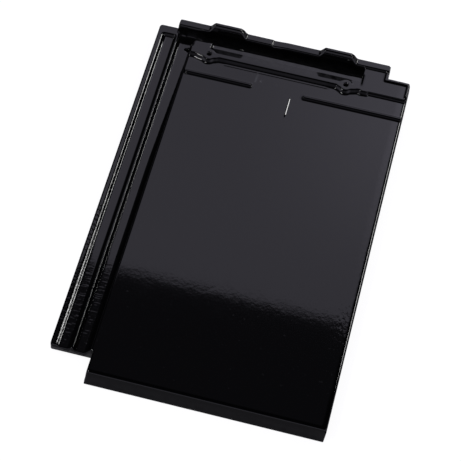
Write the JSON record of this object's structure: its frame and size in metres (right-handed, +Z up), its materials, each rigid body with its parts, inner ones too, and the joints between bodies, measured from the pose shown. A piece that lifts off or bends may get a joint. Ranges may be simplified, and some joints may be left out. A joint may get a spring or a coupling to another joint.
{
  "type": "roof tile",
  "caption": "Flat interlocking clay roof tile with a black gloss glaze, a side lock, a raised head rim with lugs, nail holes and a deep tail edge.",
  "frame": {"origin": "centre of the bounding box in plan, on the floor the tile lies on", "axes": "+X across the tile from the side lock to the cover edge, +Y from the tail to the head, +Z up out of the glazed face"},
  "size_m": [0.2916, 0.457, 0.035],
  "materials": {
    "glazed_clay": "gloss"
  },
  "bodies": {
    "root": {"roof_tile": "glazed_clay"}
  },
  "joints": []
}
